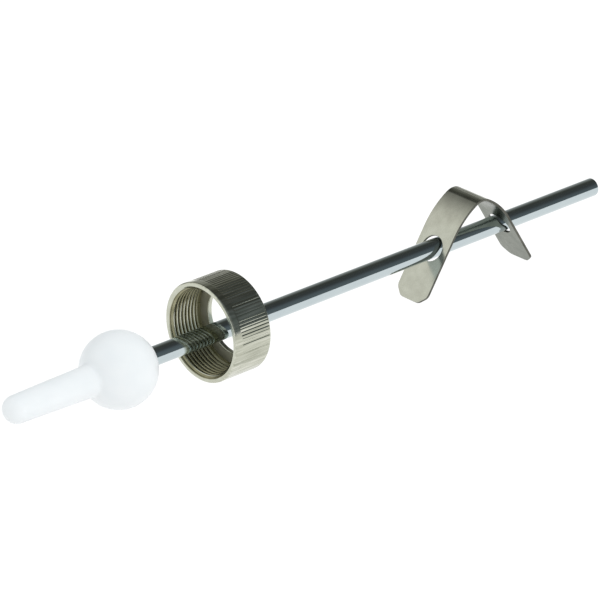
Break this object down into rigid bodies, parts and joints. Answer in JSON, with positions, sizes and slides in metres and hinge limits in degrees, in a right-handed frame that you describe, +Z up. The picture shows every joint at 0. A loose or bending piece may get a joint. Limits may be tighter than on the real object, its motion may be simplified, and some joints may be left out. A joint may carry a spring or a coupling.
{
  "type": "basin waste pivot rod",
  "caption": "Straight pivot rod with a moulded ball and finger, a loose knurled retaining nut and a bent spring clip that grips the rod.",
  "frame": {"origin": "centre of the pivot ball", "axes": "+X along the rod towards its free end, +Z up, towards the crown of the clip"},
  "size_m": [0.1954, 0.0248, 0.0258],
  "materials": {
    "ball_plastic": "moulded white acetal, satin",
    "rod_chrome": "bright chrome-plated steel bar",
    "nut_nickel": "nickel-plated brass, bright, with a turned and knurled surface",
    "clip_steel": "nickel-plated spring steel strip, satin"
  },
  "bodies": {
    "ball_rod": {"pivot_ball": "ball_plastic", "pivot_rod": "rod_chrome"},
    "nut": {"retaining_nut": "nut_nickel"},
    "clip": {"clip_crown": "clip_steel"},
    "clip_near": {"clip_near_leg": "clip_steel"},
    "clip_far": {"clip_far_leg": "clip_steel"}
  },
  "joints": [
    {"name": "nut_slide", "type": "slide", "parent": "ball_rod", "child": "nut", "axis": [0.9991, 0, 0.0419], "range_m": [-0.03103, 0.033]},
    {"name": "clip_slide", "type": "slide", "parent": "ball_rod", "child": "clip", "axis": [1, 0, 0], "range_m": [-0.025, 0.03]},
    {"name": "clip_near_pinch", "type": "hinge", "parent": "clip", "child": "clip_near", "pos_m": [0.10568, 0.00006, 0.00344], "axis": [-0.0157, -0.9996, -0.0244], "range_deg": [0, 6], "stiffness_Nm_per_rad": 0.3, "springref_deg": -1.15},
    {"name": "clip_far_pinch", "type": "hinge", "parent": "clip", "child": "clip_far", "pos_m": [0.12426, -0.00023, 0.00359], "axis": [0.0157, 0.9996, 0.0244], "range_deg": [0, 6], "stiffness_Nm_per_rad": 0.3, "springref_deg": -1.15}
  ],
  "couplings": [
    {"joint": "clip_far_pinch", "follows": "clip_near_pinch", "ratio": 1}
  ]
}
